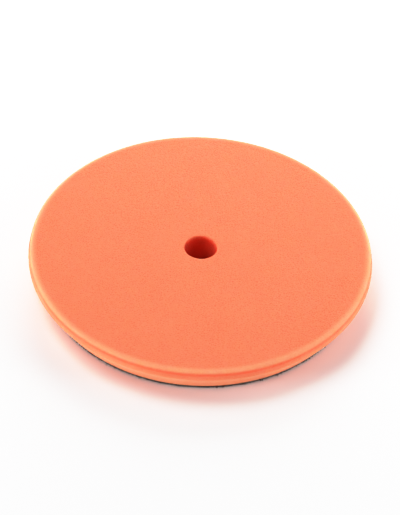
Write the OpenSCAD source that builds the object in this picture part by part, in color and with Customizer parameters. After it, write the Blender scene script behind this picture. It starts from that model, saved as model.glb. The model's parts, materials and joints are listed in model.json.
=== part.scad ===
// Foam polishing pad for a rotary or random-orbital machine.
// A round open-cell foam disc, wide at its working face and tapered to its base, is laminated
// to a hook-and-loop backing, and one centring hole is punched through every layer.
// The pad lies on its loops: Z = 0 is the loop tips, and +Z points towards the working face.

/* [Foam disc] */
// Diameter of the foam at its widest
pad_d = 155; // [140:1:180]
// Height of the whole pad, from the loop tips to the working face
pad_h = 16; // [14:0.5:30]
// Radius of the rounded edge of the working face
face_edge_r = 2; // [1:0.1:2.5]
// Height of the side lip, from the working face down to the lip's lower edge
lip_h = 5.6; // [5:0.1:8]
// Radius of the lip's lower edge
lip_edge_r = 1.8; // [1:0.1:2]
// How far the lip's lower edge stands out beyond the edge of the working face
lip_out = 0.35; // [0:0.05:0.8]
// Depth of the hollow round the side of the lip
side_hollow = 0.25; // [0.1:0.05:0.5]
// Diameter of the foam at its base
base_d = 142.5; // [125:0.5:150]

/* [Centring hole] */
// Diameter of the hole through every layer
hole_d = 15; // [8:0.5:30]

/* [Loop backing] */
// Diameter of the backing
backing_d = 142; // [120:0.5:150]
// Thickness of the adhesive film
film_t = 0.1; // [0.1:0.05:0.4]
// Thickness of the ground cloth
cloth_t = 0.35; // [0.3:0.05:1]
// Height of the loops
pile_h = 1.1; // [0.8:0.1:2.5]

/* [Hidden] */
$fn = 180;

pad_r = pad_d / 2;
base_r = base_d / 2;
hole_r = hole_d / 2;

// Heights of the layers' upper faces
pile_top = pile_h;
cloth_top = pile_top + cloth_t;
film_top = cloth_top + film_t;

// Centres of the two rounded edges of the lip, as [radius, height]
face_edge = [pad_r - lip_out - face_edge_r, pad_h - face_edge_r];
lip_edge = [pad_r - lip_edge_r, pad_h - lip_h + lip_edge_r];

// The taper runs from the rim of the base to a tangent of the lip's lower edge
taper = lip_edge - [base_r, film_top];
taper_l = norm(taper);
taper_a = atan2(taper[1], taper[0]) - asin(lip_edge_r / taper_l);
lip_tangent = lip_edge + lip_edge_r * [sin(taper_a), -cos(taper_a)];

// The side's hollow is an arc through the outermost points of the two rounded edges
side_top = face_edge + [face_edge_r, 0];
side_low = lip_edge + [lip_edge_r, 0];
side_span = side_top - side_low;
side_arc_r = (pow(norm(side_span) / 2, 2) + pow(side_hollow, 2)) / (2 * side_hollow);
side_out = [side_span[1], -side_span[0]] / norm(side_span);
side_arc = (side_top + side_low) / 2 + (side_arc_r - side_hollow) * side_out;

color_foam = [1.0, 0.53, 0.37];
color_film = [0.55, 0.25, 0.16];
color_cloth = [0.10, 0.10, 0.10];
color_pile = [0.16, 0.15, 0.15];

// Half section of the foam, right of the axis
module foam_section() {
    difference() {
        union() {
            polygon([
                [hole_r, film_top],
                [base_r, film_top],
                lip_tangent,
                lip_edge,
                side_low,
                side_top,
                face_edge,
                [face_edge[0], pad_h],
                [hole_r, pad_h]
            ]);
            translate(face_edge) circle(r = face_edge_r);
            translate(lip_edge) circle(r = lip_edge_r);
        }
        translate(side_arc) circle(r = side_arc_r);
    }
}

// One layer of the backing, punched with the hole
module layer(bottom, top) {
    translate([0, 0, bottom])
        difference() {
            cylinder(d = backing_d, h = top - bottom);
            translate([0, 0, -1]) cylinder(r = hole_r, h = top - bottom + 2);
        }
}

module foam_disc() {
    color(color_foam) rotate_extrude() foam_section();
}

module adhesive_film() {
    color(color_film) layer(cloth_top, film_top);
}

module ground_cloth() {
    color(color_cloth) layer(pile_top, cloth_top);
}

module loop_pile() {
    color(color_pile) layer(0, pile_top);
}

foam_disc();
adhesive_film();
ground_cloth();
loop_pile();
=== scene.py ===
"""The looks of a foam polishing pad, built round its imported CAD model.

The foam is a revolved skin with cut-open cells in its surface. The hook-and-loop backing is a knitted
ground cloth with cut fibres along its edge, which carries thousands of separate yarn loops. All sizes
are in metres, in the CAD frame.
"""

import json
import math

import bpy
import numpy as np
from mathutils import Matrix, Vector, noise


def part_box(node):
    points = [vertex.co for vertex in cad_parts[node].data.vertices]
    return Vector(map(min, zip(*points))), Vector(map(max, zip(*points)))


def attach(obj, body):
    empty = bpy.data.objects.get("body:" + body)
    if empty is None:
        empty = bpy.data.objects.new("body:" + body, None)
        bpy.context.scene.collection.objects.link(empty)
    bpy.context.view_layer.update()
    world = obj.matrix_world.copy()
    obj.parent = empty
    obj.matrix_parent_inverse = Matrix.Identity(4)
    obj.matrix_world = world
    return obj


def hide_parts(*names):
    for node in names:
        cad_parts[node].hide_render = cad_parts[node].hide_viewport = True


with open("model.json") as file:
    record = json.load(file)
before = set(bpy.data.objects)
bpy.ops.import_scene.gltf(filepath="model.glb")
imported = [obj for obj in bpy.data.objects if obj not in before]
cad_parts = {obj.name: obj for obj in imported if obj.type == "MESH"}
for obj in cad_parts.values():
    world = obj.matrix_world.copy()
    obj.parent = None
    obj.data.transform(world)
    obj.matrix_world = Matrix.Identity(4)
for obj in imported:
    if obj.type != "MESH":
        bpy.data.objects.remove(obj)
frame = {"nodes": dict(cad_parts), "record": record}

MM = 0.001
TAU = 2 * math.pi
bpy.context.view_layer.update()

# Sizes that the CAD model gives
FACE_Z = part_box("foam_disc")[1].z
BASE_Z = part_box("foam_disc")[0].z
PAD_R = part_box("foam_disc")[1].x
BACKING_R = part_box("ground_cloth")[1].x
CLOTH_LOW, CLOTH_TOP = (corner.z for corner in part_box("ground_cloth"))
MOUNTS = {mount["name"]: mount for mount in frame["record"]["mounts"]}
HOLE_R = MOUNTS["centre_hole"]["dims"]["r_mm"] * MM

# The foam's section, as in the CAD model
FACE_EDGE_R = 2.0 * MM
LIP_H = 5.6 * MM
LIP_EDGE_R = 1.8 * MM
LIP_OUT = 0.35 * MM
SIDE_HOLLOW = 0.25 * MM
BASE_R = 71.25 * MM

# The foam's skin: the gap between its vertices, and the width and depth of its open cells
FOAM_STEP = 0.52 * MM
CELL_SIZE = 1.15 * MM
CELL_DEPTH = 0.11 * MM
STRUT_RISE = 0.02 * MM

# The ground cloth: the gap between its vertices, its ribs, and how far its cut edge wanders
CLOTH_STEP = 0.8 * MM
RIB_PITCH = 1.7 * MM
RIB_DEPTH = 0.08 * MM
EDGE_INSET = 0.12 * MM
EDGE_WAVE = 0.05 * MM

# Radii of the loops' yarn and of the cut fibres, and how many fibres stand out of the cloth's edge
YARN_R = 0.075 * MM
FIBRE_R = 0.03 * MM
FIBRE_COUNT = 900

# Sides of a yarn's or fibre's tube, and the tint of the backing's sheen
TUBE_SIDES = 3
SHEEN_TINT = (1.0, 0.75, 0.62, 1)

# Distances between loops: over the field, at the edge, and between the edge's stray ones
FIELD_PITCH = 1.7 * MM
EDGE_PITCH = 0.62 * MM
STRAY_PITCH = 9 * MM

# The camera: its target is on the pad's axis, level with the foot of the face's rounded edge
CAMERA_LENS = 143.7
CAMERA_DISTANCE = 11.95 * PAD_R
CAMERA_ELEVATION = 43.8
CAMERA_ROLL = 2.95
# Where the target shows, right of and above the middle of the frame, as shares of the long side
CAMERA_AIM = (0.0006, 0.014)

# Distances from the pad's axis between which the floor fades into the white surround
FLOOR_FADE = (0.4, 0.9)

# How strongly the white surround lights the pad, and how bright it shows
GLOW = 0.15
BACKDROP = 1.5

# Soft lights: name, azimuth, elevation, distance, size, power
LIGHTS = (
    ("left_high", 155, 60, 1.4, 0.8, 11.0),
    ("front_left", 215, 30, 1.4, 0.8, 3.5),
    ("left_low", 200, 8, 1.4, 0.4, 19.0),
    ("front_low", 262, 8, 1.4, 0.4, 3.2),
    ("right_low", 350, 6, 1.4, 0.3, 13.0),
    ("back_low", 90, 8, 1.4, 0.3, 4.0),
    ("right_near", 0, 25, 0.6, 0.4, 1.6),
    ("back_right_near", 45, 25, 0.6, 0.4, 0.6),
    ("back_near", 90, 25, 0.6, 0.4, 3.6),
)

# Light in the scene, and how bright it shows; the last light is the one that shows white
TONES = ((0, 0), (0.1, 0.056), (0.3, 0.222), (0.6, 0.53), (0.95, 0.90), (1.4, 1.0))
TONE_WHITE = TONES[-1][0]


# ---------------------------------------------------------------- stage


def make_camera():
    """A long lens in front of the pad and above it, turned a little on its own axis."""
    data = bpy.data.cameras.new("camera")
    data.lens = CAMERA_LENS
    data.sensor_width = 36.0
    data.clip_start, data.clip_end = 0.05, 50.0
    camera = bpy.data.objects.new("camera", data)
    bpy.context.scene.collection.objects.link(camera)
    bpy.context.scene.camera = camera
    target = Vector((0, 0, FACE_Z - FACE_EDGE_R))
    up = math.radians(CAMERA_ELEVATION)
    back = Vector((0, -math.cos(up), math.sin(up)))
    turn = (-back).to_track_quat("-Z", "Y").to_matrix().to_4x4()
    # A small turn of the camera puts the target off the middle, with no shift
    spread = data.sensor_width / data.lens
    aim = Matrix.Rotation(math.atan(CAMERA_AIM[0] * spread), 4, "Y")
    aim = aim @ Matrix.Rotation(-math.atan(CAMERA_AIM[1] * spread), 4, "X")
    roll = Matrix.Rotation(math.radians(CAMERA_ROLL), 4, "Z")
    camera.matrix_world = Matrix.Translation(target + back * CAMERA_DISTANCE) @ turn @ aim @ roll


def make_studio_light(name, azimuth, elevation, distance, size, power):
    """A square soft light that faces the pad. Azimuth 0 is on the +X side and 90 on the +Y side."""
    turn, up = math.radians(azimuth), math.radians(elevation)
    reach = distance * math.cos(up)
    place = Vector((reach * math.cos(turn), reach * math.sin(turn), distance * math.sin(up)))
    data = bpy.data.lights.new(name, "AREA")
    data.shape = "SQUARE"
    data.size = size
    data.energy = power
    light = bpy.data.objects.new(name, data)
    bpy.context.scene.collection.objects.link(light)
    light.location = place
    light.rotation_mode = "QUATERNION"
    light.rotation_quaternion = (-place).to_track_quat("-Z", "Y")
    light.visible_camera = False


def make_world():
    """A white surround that lights the pad softly, and shows as a backdrop of its own brightness."""
    world = bpy.data.worlds.new("studio")
    world.use_nodes = True
    nodes, links = world.node_tree.nodes, world.node_tree.links
    background = nodes["Background"]
    background.inputs["Color"].default_value = (1, 1, 1, 1)
    seen = nodes.new("ShaderNodeLightPath").outputs["Is Camera Ray"]
    strength = nodes.new("ShaderNodeMapRange")
    strength.inputs["To Min"].default_value = GLOW
    strength.inputs["To Max"].default_value = BACKDROP
    links.new(seen, strength.inputs["Value"])
    links.new(strength.outputs["Result"], background.inputs["Strength"])
    bpy.context.scene.world = world


def make_floor():
    """A pale sheet under the pad, which fades into the white surround away from it."""
    mesh = bpy.data.meshes.new("floor")
    half = FLOOR_FADE[1] + 0.1
    corners = [(-half, -half, 0), (half, -half, 0), (half, half, 0), (-half, half, 0)]
    mesh.from_pydata(corners, [], [(0, 1, 2, 3)])
    floor = bpy.data.objects.new("floor", mesh)
    bpy.context.scene.collection.objects.link(floor)
    t = Tree("floor_white")
    alpha = t.ramp(t.radius(), FLOOR_FADE[0], FLOOR_FADE[1], 1.0, 0.0)
    mesh.materials.append(
        t.set(Base_Color=(0.9, 0.9, 0.9, 1), Roughness=0.9, Specular_IOR_Level=0.1, Alpha=alpha)
    )


def set_tones():
    """The picture's tones: a little contrast in the darks, and whites that come in softly."""
    view = bpy.context.scene.view_settings
    view.view_transform = "Standard"
    view.use_curve_mapping = True
    curves = view.curve_mapping
    curves.white_level = (TONE_WHITE,) * 3
    points = curves.curves[3].points
    for light, shown in TONES[1:-1]:
        points.new(light / TONE_WHITE, shown)
    curves.update()


# ---------------------------------------------------------------- node trees


class Tree:
    """A material's node tree, with short calls for the nodes that the materials use."""

    def __init__(self, name):
        self.material = bpy.data.materials.new(name)
        self.material.use_nodes = True
        self.tree = self.material.node_tree
        self.shader = self.tree.nodes["Principled BSDF"]
        self.place = self.tree.nodes.new("ShaderNodeTexCoord").outputs["Object"]

    def node(self, kind, settings=None, **inputs):
        """A new node with these settings, whose inputs are named with _ for each space."""
        made = self.tree.nodes.new(kind)
        for key, value in (settings or {}).items():
            setattr(made, key, value)
        for key, value in inputs.items():
            self.put(made.inputs[key.replace("_", " ")], value)
        return made

    def put(self, socket, value):
        """Link another node's output to the socket, or set the socket to a constant."""
        if isinstance(value, bpy.types.NodeSocket):
            self.tree.links.new(value, socket)
        else:
            socket.default_value = value

    def maths(self, operation, *values, clamp=False):
        made = self.tree.nodes.new("ShaderNodeMath")
        made.operation = operation
        made.use_clamp = clamp
        for socket, value in zip(made.inputs, values):
            self.put(socket, value)
        return made.outputs[0]

    def product(self, *values):
        """All the values multiplied together."""
        result = values[0]
        for value in values[1:]:
            result = self.maths("MULTIPLY", result, value)
        return result

    def noise(self, size, detail=2.0, roughness=0.5):
        """Soft noise whose lumps are about size across, from 0 to 1."""
        made = self.node("ShaderNodeTexNoise", Scale=1 / size, Detail=detail, Roughness=roughness)
        self.put(made.inputs["Vector"], self.place)
        return made.outputs["Fac"]

    def cells(self, size):
        """How far a point is from the wall of its cell. The cells are about size across."""
        made = self.node("ShaderNodeTexVoronoi", {"feature": "DISTANCE_TO_EDGE"}, Scale=1 / size)
        self.put(made.inputs["Vector"], self.place)
        return made.outputs["Distance"]

    def ramp(self, value, low, high, to_low=0.0, to_high=1.0):
        """A smooth step from to_low, where value is low, to to_high, where it is high."""
        made = self.node("ShaderNodeMapRange", {"interpolation_type": "SMOOTHSTEP"})
        for socket, given in zip(made.inputs, (value, low, high, to_low, to_high)):
            self.put(socket, given)
        return made.outputs["Result"]

    def mix(self, share, a, b):
        """Colour a where share is 0, and b where it is 1."""
        made = self.node("ShaderNodeMix", {"data_type": "RGBA"})
        factor, colour_a, colour_b = made.inputs[0], made.inputs[6], made.inputs[7]
        self.put(factor, share)
        self.put(colour_a, a)
        self.put(colour_b, b)
        return made.outputs[2]

    def bump(self, height, distance, strength, normal=None):
        made = self.node("ShaderNodeBump", Strength=strength, Distance=distance, Height=height)
        if normal is not None:
            self.put(made.inputs["Normal"], normal)
        return made.outputs["Normal"]

    def split(self):
        """The object's own x, y and z."""
        made = self.tree.nodes.new("ShaderNodeSeparateXYZ")
        self.put(made.inputs[0], self.place)
        return made.outputs

    def radius(self):
        """The distance from the object's Z axis."""
        x, y, _ = self.split()
        return self.maths("SQRT", self.maths("ADD", self.product(x, x), self.product(y, y)))

    def set(self, **values):
        """Give the shader these values, and return the material."""
        for key, value in values.items():
            self.put(self.shader.inputs[key.replace("_", " ")], value)
        return self.material


def foam_material():
    """Open-cell foam: pale struts round darker cells.

    The face's rounded edge is paler, a painted glow; the strip under it is deeper, painted shade; the
    side lip is a little paler, painted light from the floor; and the inside of the hole is a deep red,
    painted shade.
    """
    t = Tree("foam_orange")
    strut = (0.92, 0.29, 0.165, 1)
    pit = (0.72, 0.15, 0.07, 1)
    # Painted light: a pale colour for the glow painted on the face's rounded edge and on the side lip
    pale = (0.97, 0.55, 0.33, 1)
    # Painted shade: a deeper orange for the shade painted under the face's edge
    painted_shade_colour = (0.92, 0.105, 0.045, 1)
    # Painted shade: a deep red for the shade painted inside the hole
    deep = (0.88, 0.075, 0.028, 1)

    wide = t.ramp(t.cells(0.95 * MM), 0.02, 0.32)
    narrow = t.ramp(t.cells(0.42 * MM), 0.02, 0.3)
    grain = t.noise(0.5 * MM, 2.0, 0.6)
    drift = t.noise(14 * MM, 3.0)
    depth = t.product(t.maths("ADD", wide, t.product(narrow, 0.6)), 0.62)
    tone = t.maths("ADD", t.product(depth, 0.55), t.product(grain, 0.5))
    tone = t.maths("ADD", tone, t.product(drift, 0.12), clamp=True)
    colour = t.mix(tone, strut, pit)

    # The painted light and shade lie by the distance in from the pad's widest radius, and by the depth
    # below its face
    radius = t.radius()
    inward = t.maths("SUBTRACT", PAD_R, radius)
    below = t.maths("SUBTRACT", FACE_Z, t.split()[2])
    side = t.ramp(inward, 3.5 * MM, 1.0 * MM)
    # Painted highlight: the face's rounded edge is paler, a glow of light through the thin edge
    painted_rim_glow = t.product(t.ramp(inward, 4.2 * MM, 1.0 * MM), t.ramp(below, 1.6 * MM, 0.4 * MM))
    # Painted shade: the strip just under the face's edge is deeper
    painted_band_shade = t.product(side, t.ramp(below, 0.5 * MM, 1.3 * MM), t.ramp(below, 2.8 * MM, 2.0 * MM))
    # Painted light: the side lip is a little paler, as lit from the floor
    lip = t.product(side, t.ramp(below, 2.4 * MM, 3.6 * MM))
    # Painted shade: the inside of the hole is a deep red
    hole = t.ramp(radius, HOLE_R + 0.35 * MM, HOLE_R + 0.1 * MM)
    hole = t.product(hole, t.ramp(below, 0.2 * MM, 2.5 * MM))
    painted_light_and_shade_zones = ((painted_rim_glow, 0.45, pale), (painted_band_shade, 0.38, painted_shade_colour), (lip, 0.15, pale), (hole, 0.8, deep))
    for zone, share, shade in painted_light_and_shade_zones:
        colour = t.mix(t.product(zone, share), colour, shade)

    normal = t.bump(t.maths("SUBTRACT", 1.0, depth), 0.16 * MM, 0.8)
    normal = t.bump(grain, 0.05 * MM, 0.5, normal)
    return t.set(
        Base_Color=colour,
        Roughness=0.85,
        Specular_IOR_Level=0.2,
        Sheen_Weight=0.35,
        Sheen_Roughness=0.4,
        Sheen_Tint=(1.0, 0.70, 0.45, 1),
        Subsurface_Weight=0.6,
        Subsurface_Radius=(1.0, 0.25, 0.12),
        Subsurface_Scale=4.0 * MM,
        Normal=normal,
    )


def film_material():
    """Milky hot-melt film with small flow marks."""
    t = Tree("hot_melt_film")
    thick = (0.20, 0.045, 0.02, 1)
    thin = (0.36, 0.10, 0.05, 1)
    flow = t.noise(1.6 * MM, 3.0, 0.6)
    colour = t.mix(flow, thick, thin)
    normal = t.bump(flow, 0.05 * MM, 0.6)
    return t.set(Base_Color=colour, Roughness=t.ramp(flow, 0.2, 0.8, 0.3, 0.55), Normal=normal)


def knit_material():
    """Black warp-knitted cloth: wales across one way and courses across the other."""
    t = Tree("knit_black")
    hollow = (0.008, 0.004, 0.003, 1)
    raised = (0.034, 0.019, 0.014, 1)
    x, y, _ = t.split()
    wale = t.maths("SINE", t.product(x, TAU / (0.85 * MM)))
    course = t.maths("SINE", t.product(y, TAU / (0.6 * MM)))
    rib = t.maths("ABSOLUTE", t.product(wale, course))
    fibre = t.noise(0.15 * MM, 3.0, 0.7)
    share = t.maths("ADD", t.product(rib, 0.5), t.product(fibre, 0.5))
    colour = t.mix(share, hollow, raised)
    normal = t.bump(t.maths("ADD", rib, fibre), 0.1 * MM, 0.8)
    return t.set(
        Base_Color=colour,
        Roughness=0.85,
        Sheen_Weight=0.1,
        Sheen_Roughness=0.4,
        Sheen_Tint=SHEEN_TINT,
        Normal=normal,
    )


def yarn_material():
    """Brushed nylon yarn: black, with a soft sheen and fine fibres."""
    t = Tree("yarn_black")
    dark = (0.010, 0.005, 0.004, 1)
    light = (0.042, 0.024, 0.018, 1)
    shade = t.noise(0.9 * MM, 2.0)
    fibre = t.noise(0.06 * MM, 3.0, 0.7)
    share = t.maths("ADD", t.product(shade, 0.6), t.product(fibre, 0.4))
    colour = t.mix(share, dark, light)
    normal = t.bump(fibre, 0.02 * MM, 0.6)
    return t.set(
        Base_Color=colour,
        Roughness=t.ramp(fibre, 0.2, 0.8, 0.45, 0.7),
        Sheen_Weight=0.15,
        Sheen_Roughness=0.35,
        Sheen_Tint=SHEEN_TINT,
        Normal=normal,
    )


# ---------------------------------------------------------------- meshes


def piece_from(name, points, faces, material):
    """A smooth-shaded object of these points and faces, in the scene."""
    mesh = bpy.data.meshes.new(name)
    mesh.from_pydata(points, [], faces)
    mesh.validate()
    mesh.materials.append(material)
    mesh.polygons.foreach_set("use_smooth", [True] * len(mesh.polygons))
    mesh.update()
    piece = bpy.data.objects.new(name, mesh)
    bpy.context.scene.collection.objects.link(piece)
    return piece


def arc(centre, radius, start, end, step):
    """Points along an arc of the section, with both its ends, about step apart. Angles are in degrees."""
    count = max(2, math.ceil(abs(math.radians(end - start)) * radius / step))
    angles = [math.radians(start + (end - start) * k / count) for k in range(count + 1)]
    return [(centre[0] + radius * math.cos(a), centre[1] + radius * math.sin(a)) for a in angles]


def line(start, end, step, ends=(True, True)):
    """Points along a straight stretch of the section, about step apart."""
    (r0, z0), (r1, z1) = start, end
    count = max(1, math.ceil(math.hypot(r1 - r0, z1 - z0) / step))
    shares = [k / count for k in range(0 if ends[0] else 1, count + 1 if ends[1] else count)]
    return [(r0 + (r1 - r0) * s, z0 + (z1 - z0) * s) for s in shares]


def zip_rings(low, high, low_at, high_at):
    """Triangles between two rings of vertices, whose first ones are low_at and high_at."""
    faces = []
    i = j = 0
    while i < low or j < high:
        a, b = low_at + i % low, high_at + j % high
        if j >= high or (i < low and (i + 1) / low <= (j + 1) / high):
            faces.append((a, low_at + (i + 1) % low, b))
            i += 1
        else:
            faces.append((a, high_at + (j + 1) % high, b))
            j += 1
    return faces


def revolve(section, spacing):
    """(points, faces) of a closed section turned round the axis, with spacing(r, z) between vertices."""
    counts = [max(24, round(TAU * r / spacing(r, z))) for r, z in section]
    points, starts = [], []
    for index, ((r, z), count) in enumerate(zip(section, counts)):
        starts.append(len(points))
        offset = 0.5 * (index % 2)
        for k in range(count):
            a = TAU * (k + offset) / count
            points.append((r * math.cos(a), r * math.sin(a), z))
    faces = []
    for k in range(len(section)):
        n = (k + 1) % len(section)
        faces += zip_rings(counts[k], counts[n], starts[k], starts[n])
    return np.array(points), faces


def foam_section(step, base_step):
    """The foam's section as a closed loop: base, taper, lip, side hollow, face edge, face, hole."""
    face_edge = Vector((PAD_R - LIP_OUT - FACE_EDGE_R, FACE_Z - FACE_EDGE_R))
    lip_edge = Vector((PAD_R - LIP_EDGE_R, FACE_Z - LIP_H + LIP_EDGE_R))
    across, up = lip_edge - Vector((BASE_R, BASE_Z))
    taper = math.atan2(up, across) - math.asin(LIP_EDGE_R / math.hypot(across, up))
    tangent = math.degrees(taper) - 90
    on_lip = lip_edge + LIP_EDGE_R * Vector((math.sin(taper), -math.cos(taper)))
    # The side's hollow is an arc through the outermost points of the two rounded edges
    upper, lower = face_edge + Vector((FACE_EDGE_R, 0)), lip_edge + Vector((LIP_EDGE_R, 0))
    span = upper - lower
    half_span = span.length / 2
    side_r = (half_span**2 + SIDE_HOLLOW**2) / (2 * SIDE_HOLLOW)
    outward = Vector((span.y, -span.x)).normalized()
    side = (upper + lower) / 2 + (side_r - SIDE_HOLLOW) * outward
    slant = math.degrees(math.atan2(outward.y, outward.x))
    half = math.degrees(math.asin(half_span / side_r))
    # Foam keeps no sharp edge, so the hole's rim is rounded a little
    soft = 0.25 * MM
    hole_edge = (HOLE_R + soft, FACE_Z - soft)
    section = line((HOLE_R, BASE_Z), (BASE_R, BASE_Z), base_step)
    section += line((BASE_R, BASE_Z), on_lip, step, (False, False))
    section += arc(lip_edge, LIP_EDGE_R, tangent, 0, 0.7 * step)
    section += arc(side, side_r, 180 + slant + half, 180 + slant - half, step)[1:-1]
    section += arc(face_edge, FACE_EDGE_R, 0, 90, 0.8 * step)
    section += line((face_edge[0], FACE_Z), (hole_edge[0], FACE_Z), step, (False, False))
    section += arc(hole_edge, soft, 90, 180, 0.15 * MM)
    section += line((HOLE_R, hole_edge[1]), (HOLE_R, BASE_Z), step, (False, False))
    return section


def cell_depth(points):
    """How deep in an open cell each point lies, from 0 on a strut to 1 in the middle of a cell."""
    slope = 0.45  # The share of a cell over which its wall goes down
    depth = np.empty(len(points))
    for k, point in enumerate(points):
        near, far = noise.voronoi(Vector(point) / CELL_SIZE)[0][:2]
        depth[k] = min(1.0, (far - near) / slope)
    return depth * depth * (3 - 2 * depth)


def vertex_normals(mesh):
    """The mesh's vertex normals, one row each."""
    found = np.empty(len(mesh.vertices) * 3)
    mesh.vertices.foreach_get("normal", found)
    return found.reshape(-1, 3)


def make_foam(material):
    """The foam disc, with its open cells cut into every surface but the bonded base."""
    base_step = 6 * MM
    above_base = BASE_Z + 0.1 * MM
    points, faces = revolve(
        foam_section(FOAM_STEP, base_step),
        lambda r, z: FOAM_STEP if z > above_base or r > BASE_R - 0.1 * MM else base_step,
    )
    shown = points[:, 2] > above_base
    # Random sideways steps break up the face's rings, and leave the outline round
    rng = np.random.default_rng(7)
    shuffle = 0.14 * MM
    face = shown & (points[:, 2] > FACE_Z - 0.01 * MM)
    points[face, :2] += rng.uniform(-shuffle, shuffle, (int(face.sum()), 2))
    foam = piece_from("foam_disc_skin", points.tolist(), faces, material)
    normals = vertex_normals(foam.data)
    roughness = rng.normal(0, 0.012 * MM, len(points))
    push = shown * (STRUT_RISE - CELL_DEPTH * cell_depth(points) + roughness)
    points += normals * push[:, None]
    foam.data.vertices.foreach_set("co", points.astype(np.float32).ravel())
    foam.data.update()
    return foam


def make_cloth(material):
    """The ground cloth: a thin disc, ribbed below where the wales run, with a slightly wavy cut edge."""
    top, low = CLOTH_TOP, CLOTH_LOW
    top_step = 8 * MM
    edge_step = 0.25 * MM
    section = line((HOLE_R, low), (BACKING_R, low), CLOTH_STEP)
    section += line((BACKING_R, low), (BACKING_R, top), edge_step, (False, True))
    section += line((BACKING_R, top), (HOLE_R, top), top_step, (False, True))
    section += line((HOLE_R, top), (HOLE_R, low), edge_step, (False, False))
    points, faces = revolve(
        section, lambda r, z: CLOTH_STEP if z < top or r > BACKING_R - MM else top_step
    )
    rng = np.random.default_rng(11)
    below = points[:, 2] < low + 0.01 * MM
    rib = RIB_DEPTH * np.abs(np.sin(points[:, 0] * math.pi / RIB_PITCH))
    points[below, 2] += (rib + rng.uniform(0, 0.04, len(points)) * MM)[below]
    angle = np.arctan2(points[:, 1], points[:, 0])
    wave = np.sin(11 * angle) + 0.6 * np.sin(29 * angle + 1) + 0.4 * np.sin(67 * angle + 2)
    edge = np.hypot(points[:, 0], points[:, 1]) > BACKING_R - 0.01 * MM
    points[edge, :2] *= (1 - (EDGE_INSET + EDGE_WAVE * wave) / BACKING_R)[edge, None]
    return piece_from("ground_cloth_knit", points.tolist(), faces, material)


def scatter_rings(pitch, rng, inner, outer):
    """Points spread evenly over a flat ring, in jittered circles pitch apart. Its edges stay round."""
    jitter = 0.3 * pitch
    found = []
    rows = max(1, round((outer - inner) / pitch))
    for row in range(rows + 1):
        circle = inner + (outer - inner) * row / rows
        count = max(6, round(TAU * circle / pitch))
        angle = TAU * (np.arange(count) + rng.uniform(0, 1)) / count
        angle = angle + rng.uniform(-jitter, jitter, count) / circle
        radius = circle + rng.uniform(-jitter, jitter, count) * (0 < row < rows)
        found.append(np.stack([radius * np.cos(angle), radius * np.sin(angle)], axis=1))
    return np.concatenate(found)


def tubes(lines, normals, radius):
    """(points, faces) of closed tubes.

    lines is an array of centrelines, (tubes, points, 3), and normals has a vector across each one.
    """
    count, steps, _ = lines.shape
    sides = TUBE_SIDES
    along = np.gradient(lines, axis=1)
    along /= np.linalg.norm(along, axis=2, keepdims=True)
    first = np.repeat(normals[:, None, :], steps, axis=1)
    second = np.cross(along, first)
    second /= np.linalg.norm(second, axis=2, keepdims=True)
    angles = TAU * np.arange(sides) / sides
    across = np.cos(angles)[:, None] * first[:, :, None, :]
    across = across + np.sin(angles)[:, None] * second[:, :, None, :]
    points = (lines[:, :, None, :] + radius * across).reshape(-1, 3)
    k, s = np.meshgrid(np.arange(steps - 1), np.arange(sides), indexing="ij")
    k, s = k.ravel(), s.ravel()
    n = (s + 1) % sides
    quads = np.stack([k * sides + s, k * sides + n, (k + 1) * sides + n, (k + 1) * sides + s], axis=1)
    starts = np.arange(count) * steps * sides
    faces = (quads[None] + starts[:, None, None]).reshape(-1, 4).tolist()
    caps = [list(range(sides))[::-1], [(steps - 1) * sides + i for i in range(sides)]]
    faces += [[int(i + start) for i in cap] for start in starts for cap in caps]
    return points, faces


def loop_lines(places, rng, outward):
    """Centrelines of yarn loops that hang from the cloth at these places, with a vector across each.

    outward is how far they lean away from the pad's axis.
    """
    sunk = 0.1 * MM  # How deep in the cloth a loop's two ends are
    count, steps = len(places), 7
    t = np.linspace(0, 1, steps)
    heading = rng.uniform(0, math.pi, count)
    across = np.stack([np.cos(heading), np.sin(heading), np.zeros(count)], axis=1)
    width = rng.uniform(0.30, 0.50, count) * MM
    drop = rng.uniform(0.85, 1.0, count) * (CLOTH_LOW - YARN_R)
    lean = rng.normal(0, 0.22, (count, 2)) * MM
    radial = places / np.linalg.norm(places, axis=1, keepdims=True)
    lean += radial * outward
    swell = np.sin(math.pi * t)
    side = -np.cos(math.pi * t) * (0.45 + 0.75 * swell)
    lines = np.zeros((count, steps, 3))
    lines[:, :, :2] = places[:, None, :] + lean[:, None, :] * (swell**1.3)[None, :, None]
    lines += across[:, None, :] * (width[:, None] * side)[:, :, None]
    lines[:, :, 2] = CLOTH_LOW + sunk - (drop[:, None] + sunk) * (swell**0.75)[None, :]
    return lines, np.stack([-across[:, 1], across[:, 0], np.zeros(count)], axis=1)


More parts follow.
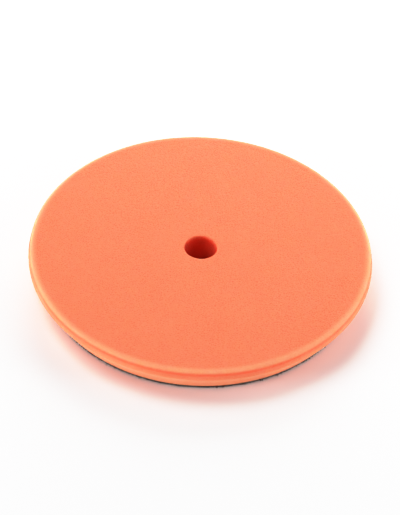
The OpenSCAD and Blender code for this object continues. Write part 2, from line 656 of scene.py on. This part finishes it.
def fuzz_lines(count, rng):
    """Centrelines of the cut fibres that stand out of the cloth's edge, with a vector across each."""
    steps = 5
    t = np.linspace(0, 1, steps)
    turn = rng.uniform(0, TAU, count)
    heading = turn + rng.normal(0, 0.7, count)
    outward = np.stack([np.cos(heading), np.sin(heading)], axis=1)
    root = (BACKING_R - 0.35 * MM) * np.stack([np.cos(turn), np.sin(turn)], axis=1)
    height = rng.uniform(CLOTH_LOW, CLOTH_TOP, count)
    length = rng.uniform(0.5, 1.1, count) * MM
    droop = rng.uniform(-0.1, 0.5, count) * MM
    lines = np.zeros((count, steps, 3))
    lines[:, :, :2] = root[:, None, :] + outward[:, None, :] * (length[:, None] * t)[:, :, None]
    lines[:, :, 2] = height[:, None] - droop[:, None] * (t**2)[None, :]
    return lines, np.stack([-outward[:, 1], outward[:, 0], np.zeros(count)], axis=1)


def make_fuzz(material):
    """The cut fibres along the edge of the ground cloth."""
    lines, normals = fuzz_lines(FIBRE_COUNT, np.random.default_rng(31))
    points, faces = tubes(lines, normals, FIBRE_R)
    return piece_from("ground_cloth_fuzz", points.tolist(), faces, material)


def make_loops(name, places, seed, outward, material):
    """Yarn loops at these places, none of them lower than the floor."""
    lines, normals = loop_lines(places, np.random.default_rng(seed), outward)
    points, faces = tubes(lines, normals, YARN_R)
    points[:, 2] = np.maximum(points[:, 2], 0)
    return piece_from(name, points.tolist(), faces, material)


# ---------------------------------------------------------------- the pad

make_camera()
make_floor()
make_world()
for settings in LIGHTS:
    make_studio_light(*settings)
set_tones()

foam = make_foam(foam_material())
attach(foam, "root")
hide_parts("foam_disc")

film = frame["nodes"]["adhesive_film"]
film.data.materials.clear()
film.data.materials.append(film_material())

cloth = make_cloth(knit_material())
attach(cloth, "root")
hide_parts("ground_cloth")
fuzz = make_fuzz(cloth.active_material)
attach(fuzz, "root")
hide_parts("ground_cloth")

yarn = yarn_material()
rng = np.random.default_rng(3)
field = scatter_rings(FIELD_PITCH, rng, HOLE_R + 0.8 * MM, BACKING_R - 1.4 * MM)
edge = scatter_rings(EDGE_PITCH, rng, BACKING_R - 0.75 * MM, BACKING_R - 0.35 * MM)
strays = scatter_rings(STRAY_PITCH, rng, BACKING_R - 0.6 * MM, BACKING_R - 0.4 * MM)
for name, places, seed, outward in (
    ("loop_pile_field", field, 21, 0.0),
    ("loop_pile_edge", edge, 22, 0.1 * MM),
    ("loop_pile_strays", strays, 23, 0.7 * MM),
):
    loops = make_loops(name, places, seed, outward, yarn)
    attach(loops, "root")
    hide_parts("loop_pile")
